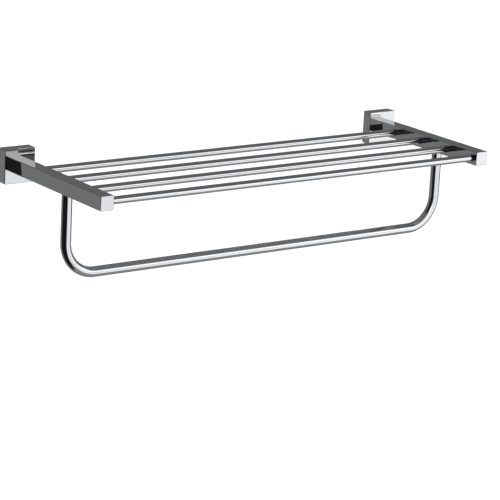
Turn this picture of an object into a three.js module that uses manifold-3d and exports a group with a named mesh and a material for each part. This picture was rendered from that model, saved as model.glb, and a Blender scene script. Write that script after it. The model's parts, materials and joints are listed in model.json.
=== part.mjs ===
// Wall-mounted towel rack: two square wall plates, an arm out from each, four rods between the arms
// that make an open shelf, and a U-shaped bar below it that a towel hangs on.
//
// Frame: millimetres, +X right along the wall, +Y into the wall, +Z up. The origin is the middle of
// the left bracket's back face, so the wall's surface is the plane y = 0 and the rack stands out
// from it towards -Y. Everything is fixed: nothing on this rack moves in use.
import * as THREE from "three";
import { mergeVertices } from "three/addons/utils/BufferGeometryUtils.js";
import Module from "manifold-3d";

const wasm = await Module();
wasm.setup();

// ---- Driving sizes -----------------------------------------------------------------------------

const clearance = 0.3; // gap between two pieces that touch or fit in each other
const plateSpacing = 570; // between the two wall plates' middles

const plateWidth = 42;
const plateHeight = 44;
const plateDepth = 15; // from the wall to the plate's front
const plateSkin = 2; // the cover's side walls
const plateFrontSkin = 2.5;

const armSize = 18; // the square arm's width and height
const armReach = 223; // from the plate's front to the arm's front end
const armSkin = 2;
const armTopDrop = 7; // how far the arm's top is below the plate's top

const rodCount = 4;
const rodDiameter = 9.5;
const rodSkin = 1.2;
const frontRodInset = 10; // from the arm's front end to the front rod's axis

const barDiameter = 13;
const barSkin = 1.2;
const barDrop = 119.5; // from the arm's top to the lower bar's axis
const bendRadius = 41; // of the tube's centre line

const cornerRound = 1; // the long edges of the plates and arms
const endRound = 0.6; // the edges around a front face

const bracketSkin = 2.5;
const flangeSkin = 2;
const flangeDepth = 9; // from the wall
const slotWidth = 6;
const slotLength = 9;
const slotSpacing = 22;

const wallScrewDiameter = 3.5;
const wallScrewLength = 25; // under the head
const wallScrewHeadDiameter = 8;
const wallScrewHeadHeight = 2.6;
const wallScrewRecessWidth = 0.9;
const wallScrewRecessDepth = 1.3;
const plugDiameter = 5.6;
const plugLength = 20;
const plugSlit = 0.8; // cut through the plug's far end
const plugChamfer = 0.4;

const armScrewSizes = [5, 4, 3, 2.5]; // metric screw diameters, of which the largest that fits is used
const armScrewLength = 16; // under the head
const armScrewSocketDepth = 2;
const washerThickness = 0.8;
const washerSplit = 0.5;
const blockLength = 20;
const blockRim = 0.5; // left outside the two tapped holes

const setScrewDiameter = 4;
const setScrewTipDiameter = 2.4;
const setScrewKey = 2;
const setScrewSocketDepth = 1;

const roundSegments = 24; // around rods, bar and their holes
const smallSegments = 16; // around screws and plugs
const bendSteps = 8; // along each bend of the bar

// ---- Places that follow from the sizes -----------------------------------------------------------

const plateFrontY = -plateDepth;
const armBackY = plateFrontY - clearance;
const armFrontY = plateFrontY - armReach;
const armX = -(plateWidth - armSize) / 2; // the arm is flush with its plate's left side
const armTopZ = plateHeight / 2 - armTopDrop;
const armZ = armTopZ - armSize / 2;
const armBore = armSize - 2 * armSkin; // the square hollow in the arm

const rodPitch = (armReach - frontRodInset) / rodCount;
const rodYs = Array.from({ length: rodCount }, (_, i) => armFrontY + frontRodInset + i * rodPitch);
const rodStartX = armX - armBore / 2 + clearance;
const rodEndX = plateSpacing + armX + armBore / 2 - clearance;

const legY = (rodYs[1] + rodYs[2]) / 2;
const legTopZ = armTopZ - armSkin - clearance;
const barZ = armTopZ - barDrop;

// Two arm screws sit one above the other, as far apart as the tapped block lets them, and their
// heads have to pass each other. A socket head is 1.75 times the screw's diameter across.
const blockSize = armBore - 2 * clearance;
const screwSpacingFor = (diameter) => blockSize - (diameter + 2 * clearance) - 2 * blockRim;
const screwHeadFor = (diameter) => 1.75 * diameter;
const armScrewDiameter = armScrewSizes.find(
  (diameter) => screwSpacingFor(diameter) >= screwHeadFor(diameter) + 2 * clearance,
);
const armScrewSpacing = screwSpacingFor(armScrewDiameter);
const armScrewHeadDiameter = screwHeadFor(armScrewDiameter);
const armScrewHeadHeight = armScrewDiameter;
const armScrewKey = 0.75 * armScrewDiameter; // across the flats of its hexagonal socket

const coverBoreWidth = plateWidth - 2 * plateSkin;
const coverBoreHeight = plateHeight - 2 * plateSkin;
const bracketWidth = coverBoreWidth - 2 * clearance;
const bracketHeight = coverBoreHeight - 2 * clearance;
const setScrewY = -(bracketSkin + flangeDepth) / 2;

const armScrewZs = { upper: armZ + armScrewSpacing / 2, lower: armZ - armScrewSpacing / 2 };
const wallScrewZs = { upper: slotSpacing / 2, lower: -slotSpacing / 2 };

// ---- Materials -----------------------------------------------------------------------------------

const chrome = new THREE.MeshStandardMaterial({ color: 0xd2d5d9, roughness: 0.06, metalness: 1 });
const zincSteel = new THREE.MeshStandardMaterial({ color: 0xa9acae, roughness: 0.4, metalness: 1 });
const darkSteel = new THREE.MeshStandardMaterial({ color: 0x3a3b3d, roughness: 0.45, metalness: 1 });
const greyNylon = new THREE.MeshStandardMaterial({ color: 0x8d9092, roughness: 0.6, metalness: 0 });

// ---- Solids --------------------------------------------------------------------------------------

// A closed geometry as a solid that can be joined and cut.
function solid(geometry) {
  const bare = geometry.clone().deleteAttribute("normal").deleteAttribute("uv");
  const merged = mergeVertices(bare, 1e-4);
  const mesh = new wasm.Mesh({
    numProp: 3,
    vertProperties: new Float32Array(merged.attributes.position.array),
    triVerts: new Uint32Array(merged.index.array),
  });
  return new wasm.Manifold(mesh);
}

// The base geometry with every tool geometry taken out of it.
function cut(base, tools) {
  const rest = tools.reduce((left, tool) => left.subtract(solid(tool)), solid(base));
  const { vertProperties, triVerts } = rest.getMesh();
  const geometry = new THREE.BufferGeometry();
  geometry.setAttribute("position", new THREE.BufferAttribute(new Float32Array(vertProperties), 3));
  geometry.setIndex(new THREE.BufferAttribute(new Uint32Array(triVerts), 1));
  const faceted = geometry.toNonIndexed();
  faceted.computeVertexNormals();
  return faceted;
}

function box(width, depth, height, x, y, z) {
  return new THREE.BoxGeometry(width, depth, height).translate(x, y, z);
}

function roundedRectangle(width, height, radius) {
  const x = width / 2 - radius;
  const z = height / 2 - radius;
  const outline = new THREE.Shape();
  outline.absarc(x, z, radius, 0, Math.PI / 2);
  outline.absarc(-x, z, radius, Math.PI / 2, Math.PI);
  outline.absarc(-x, -z, radius, Math.PI, Math.PI * 1.5);
  outline.absarc(x, -z, radius, Math.PI * 1.5, Math.PI * 2);
  outline.closePath();
  return outline;
}

// A bar of rounded rectangular section from backY to frontY, centred on x = z = 0, whose front
// edges are rounded and whose back is square. It is made longer at the back and trimmed there.
function squareBar(width, height, backY, frontY) {
  const bar = new THREE.ExtrudeGeometry(roundedRectangle(width, height, cornerRound), {
    depth: backY - frontY,
    curveSegments: 3,
    bevelThickness: endRound,
    bevelSize: endRound,
    bevelOffset: -endRound,
    bevelSegments: 2,
  });
  bar.rotateX(Math.PI / 2).translate(0, backY + endRound, 0);
  const spareBack = box(2 * width, 2 * endRound, 2 * height, 0, backY + endRound, 0);
  return cut(bar, [spareBack]);
}

// A turned piece: its profile is a list of [radius, height] from the bottom up.
function turned(profile, segments) {
  const points = profile.map(([radius, height]) => new THREE.Vector2(radius, height));
  return new THREE.LatheGeometry(points, segments);
}

// A round pin or hole along Y, from startY to endY.
function pinAlongY(diameter, startY, endY, x, z, segments) {
  const pin = new THREE.CylinderGeometry(diameter / 2, diameter / 2, Math.abs(endY - startY), segments);
  return pin.translate(x, (startY + endY) / 2, z);
}

// The tool that cuts a hexagonal key socket into a head whose face is at y = faceY. key is the
// size across the flats.
function hexSocket(key, depth, faceY) {
  const cornerRadius = key / Math.sqrt(3);
  return new THREE.CylinderGeometry(cornerRadius, cornerRadius, 2 * depth, 6).translate(0, faceY, 0);
}

function pinAlongX(diameter, startX, endX, y, z) {
  const pin = new THREE.CylinderGeometry(diameter / 2, diameter / 2, endX - startX, roundSegments);
  return pin.rotateZ(Math.PI / 2).translate((startX + endX) / 2, y, z);
}

function pinAlongZ(diameter, startZ, endZ, x, y, segments) {
  const pin = new THREE.CylinderGeometry(diameter / 2, diameter / 2, endZ - startZ, segments);
  return pin.rotateX(Math.PI / 2).translate(x, y, (startZ + endZ) / 2);
}

// ---- Pieces at each wall plate, in the plate's own frame -------------------------------------------

// The chromed square shell that hides the bracket; the arm is screwed to its front.
function wallCover() {
  const block = squareBar(plateWidth, plateHeight, 0, plateFrontY);
  const hollowDepth = plateDepth - plateFrontSkin;
  const hollow = box(coverBoreWidth, 2 * hollowDepth, coverBoreHeight, 0, 0, 0);
  const screwHoles = Object.values(armScrewZs).map((z) =>
    pinAlongY(armScrewDiameter + 2 * clearance, plateFrontY - 1, 0, armX, z, smallSegments),
  );
  const setScrewHole = pinAlongZ(
    setScrewDiameter + 2 * clearance, -plateHeight, 0, 0, setScrewY, smallSegments,
  );
  return cut(block, [hollow, ...screwHoles, setScrewHole]);
}

// The steel bracket screwed to the wall: a flat back with a flange along its top and bottom.
function wallBracket() {
  const blank = box(bracketWidth, flangeDepth, bracketHeight, 0, -flangeDepth / 2, 0);
  const channelHeight = bracketHeight - 2 * flangeSkin;
  const channel = box(2 * bracketWidth, flangeDepth, channelHeight, 0, -bracketSkin - flangeDepth / 2, 0);
  const slots = Object.values(wallScrewZs).flatMap(wallScrewSlot);
  const tipHole = pinAlongZ(
    setScrewTipDiameter + 2 * clearance, -bracketHeight, 0, 0, setScrewY, smallSegments,
  );
  return cut(blank, [channel, ...slots, tipHole]);
}

// A slot with round ends, long across, as one box and a pin at each end.
function wallScrewSlot(z) {
  const straight = slotLength - slotWidth;
  const ends = [-straight / 2, straight / 2].map((x) =>
    pinAlongY(slotWidth, -2 * bracketSkin, bracketSkin, x, z, smallSegments),
  );
  return [box(straight, 4 * bracketSkin, slotWidth, 0, 0, z), ...ends];
}

// A pan-head wood screw with a cross recess. It points along +Y, with the head's seat at y = 0.
function wallScrew() {
  const shank = wallScrewDiameter / 2;
  const head = wallScrewHeadDiameter / 2;
  const body = turned(
    [
      [0, -wallScrewHeadHeight],
      [head * 0.6, -wallScrewHeadHeight],
      [head * 0.92, -wallScrewHeadHeight * 0.7],
      [head, -wallScrewHeadHeight * 0.35],
      [head, 0],
      [shank, 0],
      [shank, wallScrewLength - 2 * wallScrewDiameter],
      [0, wallScrewLength],
    ],
    smallSegments,
  );
  const faceY = -wallScrewHeadHeight;
  const recess = [
    box(head, 2 * wallScrewRecessDepth, wallScrewRecessWidth, 0, faceY, 0),
    box(wallScrewRecessWidth, 2 * wallScrewRecessDepth, head, 0, faceY, 0),
  ];
  return cut(body, recess);
}

// A nylon plug that the wall screw spreads in the wall, slit across its far part.
function wallPlug() {
  const bore = wallScrewDiameter / 2 + clearance;
  const rim = plugDiameter / 2;
  const sleeve = turned(
    [
      [bore, 0],
      [rim, 0],
      [rim, plugLength - plugChamfer],
      [rim - plugChamfer, plugLength],
      [bore, plugLength],
      [bore, 0],
    ],
    smallSegments,
  );
  const slit = box(plugSlit, plugLength, 2 * plugDiameter, 0, plugLength, 0);
  return cut(sleeve, [slit]);
}

// The small headless screw under the cover: its tip locks in the bracket's lower flange.
function setScrew() {
  const body = setScrewDiameter / 2;
  const tip = setScrewTipDiameter / 2;
  const bottomZ = -plateHeight / 2 + clearance;
  const shoulderZ = -coverBoreHeight / 2 - clearance / 2;
  const tipZ = -bracketHeight / 2 + flangeSkin - clearance;
  const screw = turned(
    [[0, bottomZ], [body, bottomZ], [body, shoulderZ], [tip, shoulderZ], [tip, tipZ], [0, tipZ]],
    smallSegments,
  );
  const socket = hexSocket(setScrewKey, setScrewSocketDepth, bottomZ);
  return cut(screw, [socket]).rotateX(Math.PI / 2).translate(0, setScrewY, 0);
}

// The square arm: a hollow bar, closed at the front, with a round seat for each rod in its inner
// side and one for the bar's leg in its underside. The rods are on the +X side when inward is 1,
// and on the -X side when it is -1.
function arm(inward) {
  const bar = squareBar(armSize, armSize, armBackY, armFrontY);
  const hollowLength = armBackY - armFrontY - armSkin;
  const hollow = box(armBore, 2 * hollowLength, armBore, 0, armBackY, 0);
  const [seatStartX, seatEndX] = inward > 0 ? [0, armSize] : [-armSize, 0];
  const rodSeats = rodYs.map((y) => pinAlongX(rodDiameter + 2 * clearance, seatStartX, seatEndX, y, 0));
  const seatTopZ = legTopZ + clearance - armZ;
  const legSeat = pinAlongZ(barDiameter + 2 * clearance, -armSize, seatTopZ, 0, legY, roundSegments);
  return cut(bar, [hollow, ...rodSeats, legSeat]).translate(armX, 0, armZ);
}

// The tapped block brazed in the back of the arm, which the two arm screws pull on.
function threadedBlock() {
  const backY = armBackY - clearance;
  const block = box(blockSize, blockLength, blockSize, armX, backY - blockLength / 2, armZ);
  const tappedHoles = Object.values(armScrewZs).map((z) =>
    pinAlongY(armScrewDiameter + 2 * clearance, backY - 2 * blockLength, 0, armX, z, smallSegments),
  );
  return cut(block, tappedHoles);
}

// A socket-head screw that points along -Y, with the head's seat at y = 0.
function armScrew() {
  const shank = armScrewDiameter / 2;
  const head = armScrewHeadDiameter / 2;
  const body = turned(
    [
      [0, -armScrewLength],
      [shank - 0.5, -armScrewLength],
      [shank, -armScrewLength + 0.5],
      [shank, 0],
      [head, 0],
      [head, armScrewHeadHeight - 0.4],
      [head - 0.4, armScrewHeadHeight],
      [0, armScrewHeadHeight],
    ],
    smallSegments,
  );
  return cut(body, [hexSocket(armScrewKey, armScrewSocketDepth, armScrewHeadHeight)]);
}

// A split spring washer around an arm screw, with its front face at y = 0.
function springWasher() {
  const inner = armScrewDiameter / 2 + clearance;
  const outer = armScrewHeadDiameter / 2;
  const ring = turned(
    [[inner, 0], [outer, 0], [outer, washerThickness], [inner, washerThickness], [inner, 0]],
    smallSegments,
  );
  const split = box(washerSplit, 4 * washerThickness, 2 * outer, 0, 0, outer);
  return cut(ring, [split]);
}

// ---- Pieces that span the rack ---------------------------------------------------------------------

// One shelf rod: a straight tube whose ends sit in the two arms.
function rod() {
  const outer = rodDiameter / 2;
  const inner = outer - rodSkin;
  const length = rodEndX - rodStartX;
  const tube = turned(
    [[inner, 0], [outer, 0], [outer, length], [inner, length], [inner, 0]],
    roundSegments,
  );
  return tube.rotateZ(-Math.PI / 2);
}

// The bar's centre line: down the left leg, round a bend, along, round a bend and up the right leg.
// It is stepped so that each straight takes one step and each bend takes bendSteps.
class BarLine extends THREE.Curve {
  constructor() {
    super();
    const leftX = armX;
    const rightX = plateSpacing + armX;
    const arcZ = barZ + bendRadius;
    const quarter = (centreX, startAngle) => (i) => {
      const angle = startAngle + (i / bendSteps) * (Math.PI / 2);
      const x = centreX + bendRadius * Math.cos(angle);
      return new THREE.Vector3(x, legY, arcZ + bendRadius * Math.sin(angle));
    };
    const bend = Array.from({ length: bendSteps + 1 }, (_, i) => i);
    this.stations = [
      new THREE.Vector3(leftX, legY, legTopZ),
      ...bend.map(quarter(leftX + bendRadius, Math.PI)),
      ...bend.map(quarter(rightX - bendRadius, Math.PI * 1.5)),
      new THREE.Vector3(rightX, legY, legTopZ),
    ];
  }

  // One step per station, however long the stretch between two stations is.
  getUtoTmapping(u) {
    return u;
  }

  getPoint(t) {
    const last = this.stations.length - 1;
    const at = Math.min(t * last, last - 1e-9);
    const from = Math.floor(at);
    return this.stations[from].clone().lerp(this.stations[from + 1], at - from);
  }
}

// The U-shaped bar: one bent tube whose two legs go up into the arms.
function towelBar() {
  const ring = new THREE.Shape().absarc(0, 0, barDiameter / 2, 0, Math.PI * 2);
  ring.holes.push(new THREE.Path().absarc(0, 0, barDiameter / 2 - barSkin, 0, Math.PI * 2, true));
  const line = new BarLine();
  return new THREE.ExtrudeGeometry(ring, {
    steps: line.stations.length - 1,
    curveSegments: roundSegments / 2, // on each half of a circle
    extrudePath: line,
  });
}

// ---- Assembly --------------------------------------------------------------------------------------

function piece(name, geometry, material, x = 0, y = 0, z = 0) {
  const mesh = new THREE.Mesh(geometry, material);
  mesh.name = name;
  mesh.position.set(x, y, z);
  return mesh;
}

// Everything at one wall plate; side is "left" or "right".
function wallPlateGroup(side, inward) {
  const group = new THREE.Group();
  group.add(
    piece(`${side}_wall_cover`, wallCover(), chrome),
    piece(`${side}_wall_bracket`, wallBracket(), zincSteel),
    piece(`${side}_cover_set_screw`, setScrew(), darkSteel),
    piece(`${side}_arm`, arm(inward), chrome),
    piece(`${side}_arm_threaded_block`, threadedBlock(), zincSteel),
  );
  for (const [level, z] of Object.entries(wallScrewZs)) {
    const seatY = -bracketSkin - clearance;
    group.add(
      piece(`${side}_wall_screw_${level}`, wallScrew(), zincSteel, 0, seatY, z),
      piece(`${side}_wall_plug_${level}`, wallPlug(), greyNylon, 0, clearance, z),
    );
  }
  for (const [level, z] of Object.entries(armScrewZs)) {
    const washerY = plateFrontY + plateFrontSkin + clearance;
    const seatY = washerY + washerThickness + clearance;
    group.add(
      piece(`${side}_arm_washer_${level}`, springWasher(), zincSteel, armX, washerY, z),
      piece(`${side}_arm_screw_${level}`, armScrew(), darkSteel, armX, seatY, z),
    );
  }
  return group;
}

const rack = new THREE.Group();
const rightSide = wallPlateGroup("right", -1);
rightSide.position.x = plateSpacing;
rack.add(wallPlateGroup("left", 1), rightSide);
rodYs.forEach((y, i) => rack.add(piece(`shelf_rod_${i + 1}`, rod(), chrome, rodStartX, y, armZ)));
rack.add(piece("towel_bar", towelBar(), chrome));

export default rack;
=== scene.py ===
# %% [markdown]
# # A chrome towel rack for a bathroom wall
# Two square wall plates each carry a square arm. Four round rods between the arms make an open
# shelf, and a U-shaped tube below them is the bar that a towel hangs on. Everything that shows is
# plated in bright chrome, so this lesson is about two things: surfaces smooth enough to reflect
# cleanly, and a studio worth reflecting.

# %% Load the frame
import json
import math

import bmesh
import bpy
import numpy as np
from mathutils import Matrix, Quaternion, Vector


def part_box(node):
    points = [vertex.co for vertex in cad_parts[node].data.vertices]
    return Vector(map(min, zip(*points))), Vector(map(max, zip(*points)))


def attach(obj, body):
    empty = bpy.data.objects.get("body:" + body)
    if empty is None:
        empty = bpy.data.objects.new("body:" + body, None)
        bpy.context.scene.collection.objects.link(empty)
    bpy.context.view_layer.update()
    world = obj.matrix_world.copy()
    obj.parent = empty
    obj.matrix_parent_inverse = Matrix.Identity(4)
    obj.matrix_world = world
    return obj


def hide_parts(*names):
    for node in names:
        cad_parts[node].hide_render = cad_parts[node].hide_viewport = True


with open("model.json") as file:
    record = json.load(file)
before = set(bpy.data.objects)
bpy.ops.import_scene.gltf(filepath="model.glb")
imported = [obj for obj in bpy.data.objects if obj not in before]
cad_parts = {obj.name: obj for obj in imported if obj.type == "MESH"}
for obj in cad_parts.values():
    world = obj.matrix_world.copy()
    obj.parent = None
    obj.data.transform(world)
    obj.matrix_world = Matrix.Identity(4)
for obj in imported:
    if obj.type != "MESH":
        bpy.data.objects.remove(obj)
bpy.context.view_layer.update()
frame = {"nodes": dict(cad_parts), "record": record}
nodes = frame["nodes"]
MM = 0.001

# %% [markdown]
# ## The camera
# The rack is seen from its front left and from above, through a long lens, and the camera leans
# over a little. A long lens keeps the shelf's rods almost parallel. The camera is set from four
# angles and a place, so each can be changed by itself.

# %% Camera
CAMERA_PLACE = Vector((-1.4017, -2.4315, 0.6717))
CAMERA_TURN = math.radians(36.05)  # to the right of straight at the wall
CAMERA_DIP = math.radians(15.37)  # below the horizon
CAMERA_ROLL = math.radians(3.02)
CAMERA_LENS_MM = 166.7
SENSOR_WIDTH_MM = 36.0
FARTHEST_SEEN = 200.0


def make_camera():
    """Looks along (sin turn cos dip, cos turn cos dip, -sin dip), then rolls about that line."""
    look = Vector(
        (
            math.sin(CAMERA_TURN) * math.cos(CAMERA_DIP),
            math.cos(CAMERA_TURN) * math.cos(CAMERA_DIP),
            -math.sin(CAMERA_DIP),
        )
    )
    data = bpy.data.cameras.new("camera")
    data.lens = CAMERA_LENS_MM
    data.sensor_width = SENSOR_WIDTH_MM
    data.clip_end = FARTHEST_SEEN
    camera = bpy.data.objects.new("camera", data)
    camera.location = CAMERA_PLACE
    camera.rotation_mode = "QUATERNION"
    upright = look.to_track_quat("-Z", "Y")
    camera.rotation_quaternion = upright @ Quaternion((0.0, 0.0, 1.0), CAMERA_ROLL)
    bpy.context.scene.collection.objects.link(camera)
    bpy.context.scene.camera = camera
    return camera


camera = make_camera()
print("camera lens", camera.data.lens, "mm at", tuple(round(c, 3) for c in camera.location))

# %% [markdown]
# ## The studio
# Chrome has no colour of its own, so what it shows is the room. The room could be built from many
# lamps and walls. Here it is a sky that each reflection looks up by its direction, because that
# takes a few lines and is easy to adjust. A broad white panel stands in front of the rack. It is
# brighter at its right, and brightest from just above the horizon upwards. A pale haze lies round
# its upper edge, and all else is dark grey: darker overhead, paler underfoot. The camera itself
# sees plain white.

# %% Node helpers
def add_node(tree, kind, **settings):
    """A new node; settings name its properties, and inputs go in as a dict of socket: value."""
    inputs = settings.pop("inputs", {})
    node = tree.nodes.new(kind)
    for name, value in settings.items():
        setattr(node, name, value)
    for socket, value in inputs.items():
        if isinstance(value, bpy.types.NodeSocket):
            tree.links.new(value, node.inputs[socket])
        else:
            node.inputs[socket].default_value = value
    return node


def math_node(tree, operation, first, second=0.0):
    return add_node(
        tree, "ShaderNodeMath", operation=operation, inputs={0: first, 1: second}
    ).outputs[0]


def ramp_up(tree, value, start, end):
    """0 below start, 1 above end, and a smooth S between them."""
    return add_node(
        tree,
        "ShaderNodeMapRange",
        interpolation_type="SMOOTHSTEP",
        inputs={"Value": value, "From Min": start, "From Max": end},
    ).outputs[0]


def window(tree, value, low, high, soft):
    """1 where value is between low and high, falling to 0 over soft at each side."""
    rise = ramp_up(tree, value, low - soft / 2, low + soft / 2)
    fall = ramp_up(tree, value, high + soft / 2, high - soft / 2)
    return math_node(tree, "MULTIPLY", rise, fall)


def mix_value(tree, factor, below, above):
    """below where factor is 0, above where it is 1."""
    return add_node(tree, "ShaderNodeMix", inputs={0: factor, 2: below, 3: above}).outputs[0]


# %% Sky
# Each area: azimuth from and to, elevation from and to, softness across and upward, in degrees.
PANEL = (-45, 66, -36, 24, 6, 12)
HAZE = (-60, 33, 8, 46, 20, 10)
UNDERFOOT = (-200, 200, -120, -44, 1, 12)
# Each change of level: the angles where it starts and ends, in degrees.
PANEL_RIGHT_FROM = (28, 46)
PANEL_TOP_FROM = (2, 12)
OVERHEAD_FROM = (22, 40)
PANEL_LEVEL, PANEL_RIGHT_LEVEL, PANEL_TOP_LEVEL = 0.8, 1.0, 1.25
ROOM_LEVEL, OVERHEAD_LEVEL, HAZE_LEVEL, UNDERFOOT_LEVEL = 0.16, 0.11, 0.3, 0.24
BACKDROP_LEVEL = 1.05  # what the camera sees behind the rack
SKY_COLOUR = (0.98, 0.985, 1.0, 1.0)


def make_sky():
    """Direction (x, y, z) gives azimuth = atan2(x, -y), 0 in front of the rack and positive to its
    right, and elevation = asin(z). Each area of the sky is a window in those two angles."""
    world = bpy.data.worlds.new("studio_sky")
    bpy.context.scene.world = world
    world.use_nodes = True
    tree = world.node_tree
    tree.nodes.clear()
    direction = add_node(tree, "ShaderNodeTexCoord").outputs["Generated"]
    split = add_node(tree, "ShaderNodeSeparateXYZ", inputs={0: direction})
    forward = math_node(tree, "MULTIPLY", split.outputs["Y"], -1.0)
    azimuth = math_node(tree, "ARCTAN2", split.outputs["X"], forward)
    elevation = math_node(tree, "ARCSINE", split.outputs["Z"])
    degrees = math.pi / 180.0

    def patch(az_low, az_high, el_low, el_high, az_soft, el_soft):
        across = window(tree, azimuth, az_low * degrees, az_high * degrees, az_soft * degrees)
        upward = window(tree, elevation, el_low * degrees, el_high * degrees, el_soft * degrees)
        return math_node(tree, "MULTIPLY", across, upward)

    def change(angle, start_and_end):
        start, end = start_and_end
        return ramp_up(tree, angle, start * degrees, end * degrees)

    level = mix_value(tree, change(elevation, OVERHEAD_FROM), ROOM_LEVEL, OVERHEAD_LEVEL)
    level = mix_value(tree, patch(*HAZE), level, HAZE_LEVEL)
    level = mix_value(tree, patch(*UNDERFOOT), level, UNDERFOOT_LEVEL)
    panel_level = mix_value(tree, change(azimuth, PANEL_RIGHT_FROM), PANEL_LEVEL, PANEL_RIGHT_LEVEL)
    panel_level = mix_value(tree, change(elevation, PANEL_TOP_FROM), panel_level, PANEL_TOP_LEVEL)
    level = mix_value(tree, patch(*PANEL), level, panel_level)
    seen = add_node(tree, "ShaderNodeLightPath").outputs["Is Camera Ray"]
    strength = mix_value(tree, seen, level, BACKDROP_LEVEL)
    background = add_node(
        tree, "ShaderNodeBackground", inputs={"Color": SKY_COLOUR, "Strength": strength}
    )
    output = add_node(tree, "ShaderNodeOutputWorld")
    tree.links.new(background.outputs[0], output.inputs["Surface"])


bpy.context.scene.view_settings.view_transform = "Standard"
make_sky()
print("sky panel: azimuth", PANEL[:2], "elevation", PANEL[2:4], "degrees")

# %% [markdown]
# The floor is a plain pale sheet well below the rack, lit from above by one wide soft lamp. Both
# are hidden from reflections, so only the sky and the cards below decide what the chrome shows.

# %% Floor and lamp
FLOOR_Z = -2.2
FLOOR_HALF = 30.0
FLOOR_COLOUR = (0.9, 0.9, 0.9, 1.0)
FLOOR_ROUGHNESS = 0.9
LAMP_STRENGTH = 3.6
LAMP_SPREAD = math.radians(60)
LAMP_TILT = (math.radians(12), math.radians(-10), 0.0)


def make_floor():
    corners = [(-1, -1), (1, -1), (1, 1), (-1, 1)]
    mesh = bpy.data.meshes.new("floor")
    mesh.from_pydata([(x * FLOOR_HALF, y * FLOOR_HALF, FLOOR_Z) for x, y in corners], [], [(0, 1, 2, 3)])
    floor = bpy.data.objects.new("floor", mesh)
    material = bpy.data.materials.new("pale_floor")
    material.use_nodes = True
    shader = material.node_tree.nodes["Principled BSDF"]
    shader.inputs["Base Color"].default_value = FLOOR_COLOUR
    shader.inputs["Roughness"].default_value = FLOOR_ROUGHNESS
    mesh.materials.append(material)
    bpy.context.scene.collection.objects.link(floor)
    floor.visible_glossy = False


def make_lamp():
    data = bpy.data.lights.new("soft_lamp", "SUN")
    data.energy = LAMP_STRENGTH
    data.angle = LAMP_SPREAD
    lamp = bpy.data.objects.new("soft_lamp", data)
    lamp.rotation_euler = LAMP_TILT
    lamp.visible_glossy = False
    bpy.context.scene.collection.objects.link(lamp)


make_floor()
make_lamp()
print("floor at z =", FLOOR_Z, "m, lamp of strength", LAMP_STRENGTH)

# %% [markdown]
# ## Cards and flags
# Behind the rack, chrome also needs a wall to show. A grey card stands at the wall plane, seen
# only in reflections. It is nearly black under the shelf, a painted shadow deeper than a real
# wall's shadow would be. Its effect is slight: many faces change by a shade, and few by more. A
# large black flag at the rack's left does what a photographer's flag does: it draws a black line
# down each leg of the towel bar and a black patch where each rod meets the right arm. A small black
# sheet beside each wall plate is a painted shadow. It stands where the wall's shadow beside the
# plate would be, and gives the root of each arm a dark, square-ended reflection.

# %% Card helpers
def zone(tree, across, upward, low, high, soft):
    """1 inside the rectangle from low to high, in metres on the card."""
    in_x = window(tree, across, low[0], high[0], soft)
    in_z = window(tree, upward, low[1], high[1], soft)
    return math_node(tree, "MULTIPLY", in_x, in_z)


def upright_card(name, start, end, low_z, high_z, material):
    """An upright sheet from start to end, each (x, y), that only shiny surfaces can see."""
    mesh = bpy.data.meshes.new(name)
    corners = [(*start, low_z), (*end, low_z), (*end, high_z), (*start, high_z)]
    mesh.from_pydata(corners, [], [(0, 1, 2, 3)])
    mesh.materials.append(material)
    card = bpy.data.objects.new(name, mesh)
    bpy.context.scene.collection.objects.link(card)
    card.visible_camera = False
    card.visible_diffuse = False
    card.visible_shadow = False
    return card


def one_sided_light(name, find_level):
    """Grey light at the level find_level(tree, across, upward) on the card's face; a clear back."""
    material = bpy.data.materials.new(name)
    material.use_nodes = True
    tree = material.node_tree
    tree.nodes.clear()
    place = add_node(tree, "ShaderNodeTexCoord").outputs["Object"]
    split = add_node(tree, "ShaderNodeSeparateXYZ", inputs={0: place})
    level = find_level(tree, split.outputs["X"], split.outputs["Z"])
    light = add_node(tree, "ShaderNodeEmission", inputs={"Strength": level}).outputs[0]
    clear = add_node(tree, "ShaderNodeBsdfTransparent").outputs[0]
    back = add_node(tree, "ShaderNodeNewGeometry").outputs["Backfacing"]
    mixed = add_node(tree, "ShaderNodeMixShader", inputs={0: back, 1: light, 2: clear})
    output = add_node(tree, "ShaderNodeOutputMaterial")
    tree.links.new(mixed.outputs[0], output.inputs["Surface"])
    return material


# %% Wall card
CARD_GAP = 0.5 * MM  # in front of the wall plane, so that the brackets' backs don't see it
WALL_LEFT, WALL_RIGHT = -1.5, 2.1
WALL_LOW, WALL_HIGH = -1.2, 1.2
WALL_LEVEL, WALL_TOP_LEVEL, SHELF_SHADOW_LEVEL = 0.165, 0.115, 0.012
WALL_TOP_FROM = (0.008, 0.03)
SHELF_SHADOW_LOW = (0.02, -0.11)
SHELF_SHADOW_HIGH = (0.32, -0.004)
SHELF_SHADOW_SOFT = 0.03


def wall_level(tree, across, upward):
    """A shade darker above the shelf, and nearly black in the shadow under it."""
    level = mix_value(tree, ramp_up(tree, upward, *WALL_TOP_FROM), WALL_LEVEL, WALL_TOP_LEVEL)
    under = zone(tree, across, upward, SHELF_SHADOW_LOW, SHELF_SHADOW_HIGH, SHELF_SHADOW_SOFT)
    return mix_value(tree, under, level, SHELF_SHADOW_LEVEL)


wall = upright_card(
    "wall_card",
    (WALL_LEFT, -CARD_GAP),
    (WALL_RIGHT, -CARD_GAP),
    WALL_LOW,
    WALL_HIGH,
    one_sided_light("grey_wall", wall_level),
)
print("wall card:", tuple(round(side, 2) for side in wall.dimensions))
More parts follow.
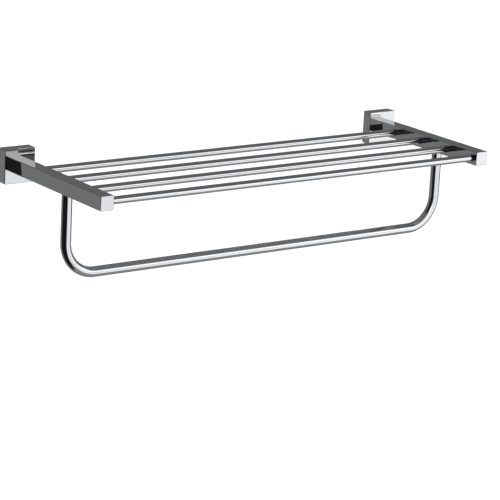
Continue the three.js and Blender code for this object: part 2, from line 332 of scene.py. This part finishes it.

# %% Black flag, and black sheets for painted shadow
SIDE_FLAG_X = -0.24
SIDE_FLAG_REACH = 1.25
SIDE_FLAG_LOW, SIDE_FLAG_HIGH = -2.1, 1.0
FLAG_WIDTH = 23 * MM
FLAG_SETBACK = 1 * MM  # behind the plate's front face
LEFT_FLAG_LOW, LEFT_FLAG_HIGH = -30 * MM, 16 * MM
RIGHT_FLAG_LOW, RIGHT_FLAG_HIGH = -12 * MM, 5 * MM
CLOTH_COLOUR = (0.012, 0.012, 0.013, 1.0)


def black_cloth():
    """Cloth with no sheen at all, so that it reflects as plain black."""
    material = bpy.data.materials.new("black_cloth")
    material.use_nodes = True
    shader = material.node_tree.nodes["Principled BSDF"]
    shader.inputs["Base Color"].default_value = CLOTH_COLOUR
    shader.inputs["Specular IOR Level"].default_value = 0.0
    return material


def plate_flag(cover, low_z, high_z, cloth):
    """A black sheet at the left of a wall plate, ending at the plate's left edge: a painted shadow,
    standing where the wall's shadow beside the plate would be.
    """
    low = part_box(cover)[0]
    depth = low.y + FLAG_SETBACK
    start, end = (low.x - FLAG_WIDTH, depth), (low.x, depth)
    return upright_card(f"{cover}_flag", start, end, low_z, high_z, cloth)


cloth = black_cloth()
side_flag = upright_card(
    "side_flag",
    (SIDE_FLAG_X, -SIDE_FLAG_REACH),
    (SIDE_FLAG_X, -CARD_GAP),
    SIDE_FLAG_LOW,
    SIDE_FLAG_HIGH,
    cloth,
)
# Painted shadow: a black sheet beside each wall plate, where the wall's shadow would be.
left_flag = plate_flag("left_wall_cover", LEFT_FLAG_LOW, LEFT_FLAG_HIGH, cloth)
right_flag = plate_flag("right_wall_cover", RIGHT_FLAG_LOW, RIGHT_FLAG_HIGH, cloth)
print("flags:", side_flag.name, left_flag.name, right_flag.name)

# %% [markdown]
# Five small cards stand in front of the wall plates, at most a millimetre away. A glow card rises
# from each arm's top to past the plate's top edge, and lays a light strip on the arm near the
# plate. A root card above each arm darkens a small area of the plate, and a dusk card at the left
# arm's right side darkens another. They stand for nothing on a real wall, and their levels were
# set for this one view. The real way would be to light the rack until such patches came by
# themselves, which is slower and harder to steer.

# %% Plate cards
# Painted highlight and painted shade: each card lies on the chrome face that reflects it.
GLOW_GAP = 0.3 * MM  # in front of the plate's front face, as are the other gaps
GLOW_RISE = 8.5 * MM  # above the plate's top
ROOT_GAP = 0.6 * MM
ROOT_STEP_Z = 19.4 * MM
DUSK_GAP = 1 * MM
DUSK_INSET = 1 * MM  # past the plate's right edge
DUSK_LOW, DUSK_STEP, DUSK_HIGH = -12 * MM, 12 * MM, 14 * MM
STEP_SOFT = 0.5 * MM
GLOW_LEVEL = {"left": 0.40, "right": 0.52}
ROOT_LEVELS = {"left": (0.42, 0.11), "right": (0.6, 1.0)}  # below and above the step
DUSK_LEVELS = (0.075, 0.012)


def stepped_light(name, levels, step_z):
    """One-sided light of the first level below step_z and the second above it."""

    def find_level(tree, across, upward):
        above = ramp_up(tree, upward, step_z - STEP_SOFT, step_z + STEP_SOFT)
        return mix_value(tree, above, *levels)

    return one_sided_light(name, find_level)


def glow_card(side):
    """A grey card on the plate's front, facing the room, that the arm's top reflects: a painted
    highlight, the light strip on the arm near the plate.
    """
    low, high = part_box(f"{side}_wall_cover")
    depth = low.y - GLOW_GAP
    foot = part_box(f"{side}_arm")[1].z
    level = GLOW_LEVEL[side]
    light = stepped_light(f"{side}_glow", (level, level), high.z)
    start, end = (low.x, depth), (high.x, depth)
    return upright_card(f"{side}_glow", start, end, foot, high.z + GLOW_RISE, light)


def root_card(side):
    """A card above the arm's root, facing the plate, that the plate's front reflects: a painted
    reflection, which lays painted shade on the plate's front.
    """
    low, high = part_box(f"{side}_wall_cover")
    depth = low.y - ROOT_GAP
    arm_low, arm_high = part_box(f"{side}_arm")
    light = stepped_light(f"{side}_root", ROOT_LEVELS[side], ROOT_STEP_Z)
    start, end = (arm_high.x, depth), (arm_low.x, depth)
    return upright_card(f"{side}_root", start, end, arm_high.z, high.z, light)


def dusk_card():
    """A dark card right of the left arm's root, facing the plate: painted shade on the plate's front."""
    low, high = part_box("left_wall_cover")
    depth = low.y - DUSK_GAP
    start = (high.x + DUSK_INSET, depth)
    end = (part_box("left_arm")[1].x, depth)
    light = stepped_light("dusk", DUSK_LEVELS, DUSK_STEP)
    return upright_card("dusk", start, end, DUSK_LOW, DUSK_HIGH, light)


plate_cards = [glow_card("left"), glow_card("right"), root_card("left"), root_card("right"), dusk_card()]
print("plate cards:", [card.name for card in plate_cards])

# %% [markdown]
# ## Chrome
# Bright chrome is nickel and chromium on polished metal: it reflects nearly all of what it sees,
# with a faint cool tint. Close to, it isn't perfect. Wiping leaves hairline scratches along the
# piece, dried water leaves patches that are a shade rougher, and buffing leaves the metal a trifle
# wavy. All three are noises on the Object coordinates, at their real scale.

# %% Material helpers
def new_material(name):
    material = bpy.data.materials.new(name)
    material.use_nodes = True
    tree = material.node_tree
    return material, tree, tree.nodes["Principled BSDF"]


def object_noise(tree, scale, detail=2.0, roughness=0.5):
    """Noise on Object coordinates. scale is the number of features per metre, alike or per axis."""
    place = add_node(tree, "ShaderNodeTexCoord").outputs["Object"]
    if not isinstance(scale, tuple):
        scale = (scale, scale, scale)
    mapping = add_node(tree, "ShaderNodeMapping", inputs={"Vector": place, "Scale": scale})
    return add_node(
        tree,
        "ShaderNodeTexNoise",
        inputs={"Vector": mapping.outputs[0], "Scale": 1.0, "Detail": detail, "Roughness": roughness},
    ).outputs["Fac"]


def spread(tree, value, low, high):
    """A noise value, which stays mostly between 0.3 and 0.7, stretched to run from low to high."""
    return add_node(
        tree,
        "ShaderNodeMapRange",
        inputs={"Value": value, "From Min": 0.3, "From Max": 0.7, "To Min": low, "To Max": high},
    ).outputs[0]


def mix_colour(tree, factor, first, second):
    """first where factor is 0, second where it is 1."""
    inputs = {0: factor, 6: first, 7: second}
    return add_node(tree, "ShaderNodeMix", data_type="RGBA", inputs=inputs).outputs[2]


def bump(tree, height, strength, depth, below=None):
    """A normal tilted by the height, on top of the normal below it if one is given."""
    inputs = {"Height": height, "Strength": strength, "Distance": depth}
    if below is not None:
        inputs["Normal"] = below
    return add_node(tree, "ShaderNodeBump", inputs=inputs).outputs[0]


# %% Chrome material
CHROME_COLOUR = (0.9, 0.915, 0.93, 1.0)
HAIRLINES_ACROSS, HAIRLINES_ALONG = 3500.0, 60.0  # features per metre
SPOTS_PER_METRE = 90.0
WAVES_PER_METRE = 160.0


def chrome(name, along):
    """Bright chrome whose hairlines run along one axis: 0 for X, 1 for Y, 2 for Z."""
    material, tree, shader = new_material(name)
    shader.inputs["Base Color"].default_value = CHROME_COLOUR
    shader.inputs["Metallic"].default_value = 1.0
    spots = object_noise(tree, SPOTS_PER_METRE, detail=3.0)
    fine_scale = [HAIRLINES_ACROSS] * 3
    fine_scale[along] = HAIRLINES_ALONG
    hairlines = object_noise(tree, tuple(fine_scale), detail=1.0)
    haze = math_node(tree, "ADD", spread(tree, spots, 0.03, 0.07), spread(tree, hairlines, -0.01, 0.02))
    tree.links.new(haze, shader.inputs["Roughness"])
    wavy = bump(tree, object_noise(tree, WAVES_PER_METRE), 0.1, 0.01 * MM)
    scratched = bump(tree, hairlines, 0.15, 0.002 * MM, below=wavy)
    tree.links.new(scratched, shader.inputs["Normal"])
    return material


chrome_along_x = chrome("chrome_along_x", along=0)
chrome_along_y = chrome("chrome_along_y", along=1)

# %% Steel, black oxide and nylon
ZINC_BLUE, ZINC_YELLOW = (0.58, 0.6, 0.64, 1.0), (0.68, 0.67, 0.6, 1.0)
OXIDE_BLACK, OXIDE_RUBBED = (0.03, 0.03, 0.033, 1.0), (0.11, 0.11, 0.115, 1.0)
NYLON_DARK, NYLON_LIGHT = (0.27, 0.28, 0.29, 1.0), (0.33, 0.34, 0.35, 1.0)


def zinc_plate():
    """Bright zinc on steel: satin, with a cloudy, faintly blue and yellow film."""
    material, tree, shader = new_material("zinc_plate")
    shader.inputs["Metallic"].default_value = 1.0
    clouds = object_noise(tree, 140.0, detail=4.0)
    tint = mix_colour(tree, spread(tree, clouds, 0.0, 1.0), ZINC_BLUE, ZINC_YELLOW)
    tree.links.new(tint, shader.inputs["Base Color"])
    grain = object_noise(tree, 2500.0, detail=3.0)
    tree.links.new(spread(tree, grain, 0.28, 0.42), shader.inputs["Roughness"])
    tree.links.new(bump(tree, grain, 0.3, 0.01 * MM), shader.inputs["Normal"])
    return material


def black_oxide():
    """Blackened steel: nearly black, with rubbed grey where the film is thin."""
    material, tree, shader = new_material("black_oxide")
    shader.inputs["Metallic"].default_value = 0.85
    rubbed = object_noise(tree, 600.0, detail=4.0)
    tint = mix_colour(tree, spread(tree, rubbed, 0.0, 1.0), OXIDE_BLACK, OXIDE_RUBBED)
    tree.links.new(tint, shader.inputs["Base Color"])
    tree.links.new(spread(tree, rubbed, 0.5, 0.34), shader.inputs["Roughness"])
    tree.links.new(bump(tree, rubbed, 0.2, 0.02 * MM), shader.inputs["Normal"])
    return material


def moulded_nylon():
    """Grey nylon: a soft sheen over a fine moulded grain."""
    material, tree, shader = new_material("moulded_nylon")
    clouds = object_noise(tree, 300.0, detail=2.0)
    tint = mix_colour(tree, spread(tree, clouds, 0.0, 1.0), NYLON_DARK, NYLON_LIGHT)
    tree.links.new(tint, shader.inputs["Base Color"])
    grain = object_noise(tree, 5000.0, detail=2.0)
    tree.links.new(spread(tree, grain, 0.42, 0.56), shader.inputs["Roughness"])
    tree.links.new(bump(tree, grain, 0.4, 0.02 * MM), shader.inputs["Normal"])
    return material


FINISHES = {
    "chrome": chrome_along_y,
    "plated_steel": zinc_plate(),
    "dark_steel": black_oxide(),
    "nylon": moulded_nylon(),
}


def finish_cad_nodes():
    """Gives each CAD node the finish of its slot in the record."""
    for part in frame["record"]["subparts"]:
        mesh = nodes[part["node"]].data
        mesh.materials.clear()
        mesh.materials.append(FINISHES[part["material_slot"]])


finish_cad_nodes()
print("finishes:", sorted(FINISHES))

# %% [markdown]
# ## Surfaces from grids
# A tube is a grid of points: one parameter goes round it and the other along it. A cylinder or a
# curve with a round section would also do. A grid worked out as whole arrays is chosen because it
# gives both walls and both rims in one closed mesh, as fine as a mirror finish needs.

# %% Grid helpers
ROUND_STEPS = 96
SHARP_ANGLE = math.radians(35)


def closed_grid_faces(rows, columns):
    """Quads of a grid that closes on itself both ways."""
    row, column = np.meshgrid(np.arange(rows), np.arange(columns), indexing="ij")
    next_row = (row + 1) % rows
    next_column = (column + 1) % columns
    corners = [
        row * columns + column,
        next_row * columns + column,
        next_row * columns + next_column,
        row * columns + next_column,
    ]
    return np.stack(corners, axis=-1).reshape(-1, 4)


def add_piece(name, mesh, node):
    """Shades the mesh smooth, with sharp edges kept sharp, and lets it stand for a CAD node."""
    mesh.polygons.foreach_set("use_smooth", np.ones(len(mesh.polygons), dtype=bool))
    mesh.set_sharp_from_angle(angle=SHARP_ANGLE)
    piece = bpy.data.objects.new(name, mesh)
    bpy.context.scene.collection.objects.link(piece)
    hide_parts(node)
    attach(piece, "root")
    return piece


def mesh_piece(name, points, faces, material, node):
    """A piece made from a grid's points and faces."""
    mesh = bpy.data.meshes.new(name)
    mesh.from_pydata(points.reshape(-1, 3).tolist(), [], [list(face) for face in faces])
    mesh.validate()
    mesh.materials.append(material)
    return add_piece(name, mesh, node)


# %% [markdown]
# ## The shelf rods
# Each rod is a plain tube. Its profile goes out along the outside and back through the bore, with
# a small chamfer at each rim, and is carried round the rod's axis.

# %% Shelf rods
TUBE_WALL = 1.2 * MM
RIM_CHAMFER = 0.25 * MM


def shelf_rod(node):
    """Points (x, r) of the profile, turned round the axis: y = r cos t, z = r sin t."""
    low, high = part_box(node)
    radius = (high.z - low.z) / 2
    bore = radius - TUBE_WALL
    profile = np.array(
        [
            (high.x, bore),
            (high.x, radius - RIM_CHAMFER),
            (high.x - RIM_CHAMFER, radius),
            (low.x + RIM_CHAMFER, radius),
            (low.x, radius - RIM_CHAMFER),
            (low.x, bore),
        ]
    )
    turn = np.linspace(0, 2 * np.pi, ROUND_STEPS, endpoint=False)
    x = np.repeat(profile[:, 0][:, None], ROUND_STEPS, axis=1)
    y = (low.y + high.y) / 2 + profile[:, 1][:, None] * np.cos(turn)
    z = (low.z + high.z) / 2 + profile[:, 1][:, None] * np.sin(turn)
    points = np.stack([x, y, z], axis=-1)
    faces = closed_grid_faces(len(profile), ROUND_STEPS)
    return mesh_piece(f"{node}_tube", points, faces, chrome_along_x, node)


rod_names = sorted(name for name in nodes if name.startswith("shelf_rod"))
rods = [shelf_rod(name) for name in rod_names]
print("rods:", [len(rod.data.polygons) for rod in rods])

# %% [markdown]
# ## The towel bar
# The bar is one tube bent twice. It could be a bevelled curve, but then the bore and the rims would
# need a second step. Its centre line lies in an upright plane: down a leg, a quarter circle, along,
# another quarter circle and up. The section is a circle across that line, so each point is the
# line's point plus a radius times a mix of the line's normal and the Y axis.

# %% Towel bar
BEND_RADIUS = 41 * MM
BEND_STEPS = 40


def bar_line(low, high, radius):
    """Centre line and its inward normal, both in the XZ plane. On a bend, the point is the bend's
    centre minus the normal times the bend's radius."""
    left, right = low.x + radius, high.x - radius
    bottom = low.z + radius
    sweep = np.linspace(0, np.pi / 2, BEND_STEPS)
    left_normal = np.stack([np.cos(sweep), np.sin(sweep)], axis=-1)
    right_normal = np.stack([-np.sin(sweep), np.cos(sweep)], axis=-1)
    centre_z = bottom + BEND_RADIUS
    left_bend = np.array([left + BEND_RADIUS, centre_z]) - BEND_RADIUS * left_normal
    right_bend = np.array([right - BEND_RADIUS, centre_z]) - BEND_RADIUS * right_normal
    line = np.vstack([[left, high.z], left_bend, right_bend, [right, high.z]])
    normal = np.vstack([[1.0, 0.0], left_normal, right_normal, [-1.0, 0.0]])
    return line, normal


def towel_bar(node):
    low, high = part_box(node)
    radius = (high.y - low.y) / 2
    line, normal = bar_line(low, high, radius)
    turn = np.linspace(0, 2 * np.pi, ROUND_STEPS, endpoint=False)

    def skin(size):
        """The tube of that radius: line + size (cos t normal + sin t Y)."""
        x = line[:, 0][:, None] + size * np.cos(turn) * normal[:, 0][:, None]
        z = line[:, 1][:, None] + size * np.cos(turn) * normal[:, 1][:, None]
        y = (low.y + high.y) / 2 + size * np.sin(turn) * np.ones(len(line))[:, None]
        return np.stack([x, y, z], axis=-1)

    points = np.concatenate([skin(radius), skin(radius - TUBE_WALL)[::-1]])
    faces = closed_grid_faces(len(points), ROUND_STEPS)
    return mesh_piece("towel_bar_tube", points, faces, chrome_along_x, node)


bar = towel_bar("towel_bar")
print("towel bar:", len(bar.data.polygons), "faces")

# %% [markdown]
# ## Arms and wall covers
# These are square pieces with small rounded edges, and their shape is right already. What they
# lack is a smooth run of reflection round each edge, because the CAD mesh is loose triangles and
# shades as facets. So each is copied, its points are merged, and its edges are shaded smooth. The
# normals are weighted by face area, which keeps the wide faces dead flat, as buffed plating is.

# %% Square pieces
MERGE_DISTANCE = 0.001 * MM


def polished_copy(node, material):
    """The CAD mesh with its double points merged, and normals weighted by the faces' areas."""
    mesh = nodes[node].data.copy()
    shape = bmesh.new()
    shape.from_mesh(mesh)
    bmesh.ops.remove_doubles(shape, verts=shape.verts, dist=MERGE_DISTANCE)
    shape.to_mesh(mesh)
    shape.free()
    mesh.name = f"{node}_polished"
    mesh.materials.clear()
    mesh.materials.append(material)
    piece = add_piece(mesh.name, mesh, node)
    flatten = piece.modifiers.new("flat_faces", "WEIGHTED_NORMAL")
    flatten.keep_sharp = True
    return piece


square_nodes = [f"{side}_{kind}" for side in ("left", "right") for kind in ("arm", "wall_cover")]
square_pieces = [polished_copy(node, chrome_along_y) for node in square_nodes]
print("square pieces:", {piece.name: len(piece.data.vertices) for piece in square_pieces})

# %% [markdown]
# ## Wall screws
# A wood screw has a domed head with a cross recess and a thread that winds down to a point. The
# thread could be a modifier's spiral and the recess a cut. Yet seen along its axis the screw is
# nearly a turned piece, so one polar grid is simpler: rows run from the middle of the head's face,
# over the head and down the shank to the point. Two things vary round the turn. The recess sinks
# the head's face, and the thread swells the shank.

# %% Polar grid helper
def polar_faces(rows, columns):
    """Faces of a grid closed round the axis, with a single point at each end. The first point is
    the first pole, then come the rows, then the last pole."""
    row, column = np.meshgrid(np.arange(rows - 1), np.arange(columns), indexing="ij")
    beside = (column + 1) % columns
    quads = np.stack(
        [
            1 + row * columns + column,
            1 + (row + 1) * columns + column,
            1 + (row + 1) * columns + beside,
            1 + row * columns + beside,
        ],
        axis=-1,
    ).reshape(-1, 4)
    around = np.arange(columns)
    ahead = (around + 1) % columns
    last_row, last_pole = 1 + (rows - 1) * columns, 1 + rows * columns
    first_fan = np.stack([np.zeros_like(around), 1 + around, 1 + ahead], axis=-1)
    last_fan = np.stack([last_row + ahead, last_row + around, np.full_like(around, last_pole)], axis=-1)
    return quads.tolist() + first_fan.tolist() + last_fan.tolist()


# %% Wall screws
SCREW_STEPS = 48
HEAD_HEIGHT = 2.6 * MM
SHANK_RADIUS = 1.75 * MM
THREAD_ROOT = 1.3 * MM
THREAD_PITCH = 1.6 * MM
POINT_LENGTH = 7 * MM
RECESS_HALF_WIDTH = 0.45 * MM
RECESS_REACH = 2.0 * MM
RECESS_DEPTH = 1.3 * MM
RIDGE_SHARPNESS = 1.7  # 1 would let the ridge fill the whole pitch
FACE_ROWS, SHANK_ROWS = 20, 150
FACE_INNER = 0.12 * MM
FACE_OUTER_SHARE = 0.6  # of the head's rim
END_GAP = 0.1 * MM


def recess_depth(radius, turn):
    """A plus sign: full depth where either arm of the cross covers the point, and 0 elsewhere."""
    across, upward = np.abs(radius * np.cos(turn)), np.abs(radius * np.sin(turn))
    in_cross = np.minimum(across, upward) < RECESS_HALF_WIDTH
    return RECESS_DEPTH * (in_cross & (radius < RECESS_REACH))


def thread_radius(along, turn, length):
    """Root radius plus a triangular ridge that moves one pitch along for each turn. Both shrink to
    nothing over the point's length."""
    phase = (along / THREAD_PITCH - turn / (2 * np.pi)) % 1.0
    ridge = np.clip(1 - RIDGE_SHARPNESS * np.abs(2 * phase - 1), 0, 1)
    taper = np.clip((length - along) / POINT_LENGTH, 0, 1)
    return (THREAD_ROOT + (SHANK_RADIUS - THREAD_ROOT) * ridge) * taper


def wall_screw(node, material):
    """Rows (radius, y) from the head's face to the point, turned round the axis: x = r cos t and
    z = r sin t. Only the face's y and the shank's radius change with t."""
    low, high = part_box(node)
    rim = (high.x - low.x) / 2
    length = high.y - low.y - HEAD_HEIGHT
    turn = np.linspace(0, 2 * np.pi, SCREW_STEPS, endpoint=False)[None, :]
    face_radius = np.linspace(FACE_INNER, FACE_OUTER_SHARE * rim, FACE_ROWS)[:, None]
    face_y = recess_depth(face_radius, turn)
    dome_radius = np.array([0.92 * rim, rim, rim, SHANK_RADIUS])[:, None]
    dome_y = np.array([0.3 * HEAD_HEIGHT, 0.65 * HEAD_HEIGHT, HEAD_HEIGHT, HEAD_HEIGHT])[:, None]
    along = np.linspace(END_GAP, length - END_GAP, SHANK_ROWS)[:, None]
    shank_radius = thread_radius(along, turn, length)
    level = np.ones_like(turn)
    radius = np.vstack([face_radius * level, dome_radius * level, shank_radius])
    y = low.y + np.vstack([face_y, dome_y * level, (HEAD_HEIGHT + along) * level])
    x = (low.x + high.x) / 2 + radius * np.cos(turn)
    z = (low.z + high.z) / 2 + radius * np.sin(turn)
    rows = np.stack([x, y, z], axis=-1)
    centre = ((low.x + high.x) / 2, (low.z + high.z) / 2)
    start = (centre[0], low.y + RECESS_DEPTH, centre[1])
    end = (centre[0], high.y, centre[1])
    points = np.vstack([[start], rows.reshape(-1, 3), [end]])
    faces = polar_faces(len(rows), SCREW_STEPS)
    return mesh_piece(f"{node}_threaded", points, faces, material, node)


wall_screws = [
    wall_screw(name, FINISHES["plated_steel"]) for name in sorted(nodes) if "_wall_screw_" in name
]
print("wall screws:", len(wall_screws), "with", len(wall_screws[0].data.polygons), "faces each")

# %% [markdown]
# ## Wall plugs
# A nylon plug is a ribbed sleeve. Its ribs slope one way, like barbs, and its far half is slit so
# that the screw can spread it. The slit could be cut from a whole sleeve. Here each half is a
# profile of barbs and bore carried through half a turn, and the slit is the room left between the
# halves, so no cut can leave stray faces.

# %% Wall plugs
PLUG_STEPS = 24
COLLAR_LENGTH = 1.6 * MM
BARB_PITCH = 2.2 * MM
BARB_DEPTH = 0.35 * MM
PLUG_BORE = 2.05 * MM
SLIT_HALF_WIDTH = 0.4 * MM
COLLAR_DROP = 0.1 * MM
BARB_RISE_SHARE = 0.85  # of each barb's length


def barbed_profile(length, rim):
    """Rows of (distance, outer radius): a plain collar, then teeth that rise slowly and drop at
    once, as often as fit in the length."""
    count = int((length - COLLAR_LENGTH) / BARB_PITCH)
    starts = COLLAR_LENGTH + np.arange(count) * (length - COLLAR_LENGTH) / count
    pitch = (length - COLLAR_LENGTH) / count
    teeth_y = np.stack([starts, starts + BARB_RISE_SHARE * pitch], axis=-1).reshape(-1)
    teeth_r = np.tile([rim - BARB_DEPTH, rim], count)
    along = np.concatenate([[0.0, COLLAR_LENGTH - COLLAR_DROP], teeth_y, [length]])
    outer = np.concatenate([[rim, rim], teeth_r, [rim - BARB_DEPTH]])
    return along, outer


def half_plug(low, high, start_turn):
    """Points (r cos t, y, r sin t), where t runs through half a turn less the slit's share at each
    side. That share is 0 before the plug's middle and asin(half slit / r) after it."""
    rim = (high.x - low.x) / 2
    along, outer = barbed_profile(high.y - low.y, rim)
    along = np.concatenate([along, along[::-1]])[:, None]
    radius = np.concatenate([outer, np.full(len(outer), PLUG_BORE)])[:, None]
    slit_from = (high.y - low.y) / 2
    share = np.arcsin(SLIT_HALF_WIDTH / radius) * (along > slit_from)
    step = np.linspace(0, 1, PLUG_STEPS)[None, :]
    turn = start_turn + share + step * (np.pi - 2 * share)
    x = (low.x + high.x) / 2 + radius * np.cos(turn)
    y = low.y + along * np.ones_like(step)
    z = (low.z + high.z) / 2 + radius * np.sin(turn)
    return np.stack([x, y, z], axis=-1)


def half_plug_faces(rows, first_point):
    """Quads round the closed profile for each step of the turn, and a strip of quads across the
    wall at each of the two cut sides."""
    row, column = np.meshgrid(np.arange(rows), np.arange(PLUG_STEPS - 1), indexing="ij")
    after = (row + 1) % rows
    skin = np.stack(
        [
            row * PLUG_STEPS + column,
            after * PLUG_STEPS + column,
            after * PLUG_STEPS + column + 1,
            row * PLUG_STEPS + column + 1,
        ],
        axis=-1,
    ).reshape(-1, 4)
    near = np.arange(rows // 2 - 1)
    across = np.stack([rows - 1 - near, rows - 2 - near, near + 1, near], axis=-1) * PLUG_STEPS
    far_side = across[:, ::-1] + PLUG_STEPS - 1
    return first_point + np.vstack([skin, across, far_side])


def wall_plug(node, material):
    """The two halves' grids in one mesh."""
    low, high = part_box(node)
    halves = [half_plug(low, high, start) for start in (np.pi / 2, -np.pi / 2)]
    rows = len(halves[0])
    points = np.concatenate(halves)
    faces = np.vstack([half_plug_faces(rows, 0), half_plug_faces(rows, rows * PLUG_STEPS)])
    return mesh_piece(f"{node}_barbed", points, faces, material, node)


wall_plugs = [wall_plug(name, FINISHES["nylon"]) for name in sorted(nodes) if "_wall_plug_" in name]
print("wall plugs:", len(wall_plugs), "with", len(wall_plugs[0].data.polygons), "faces each")
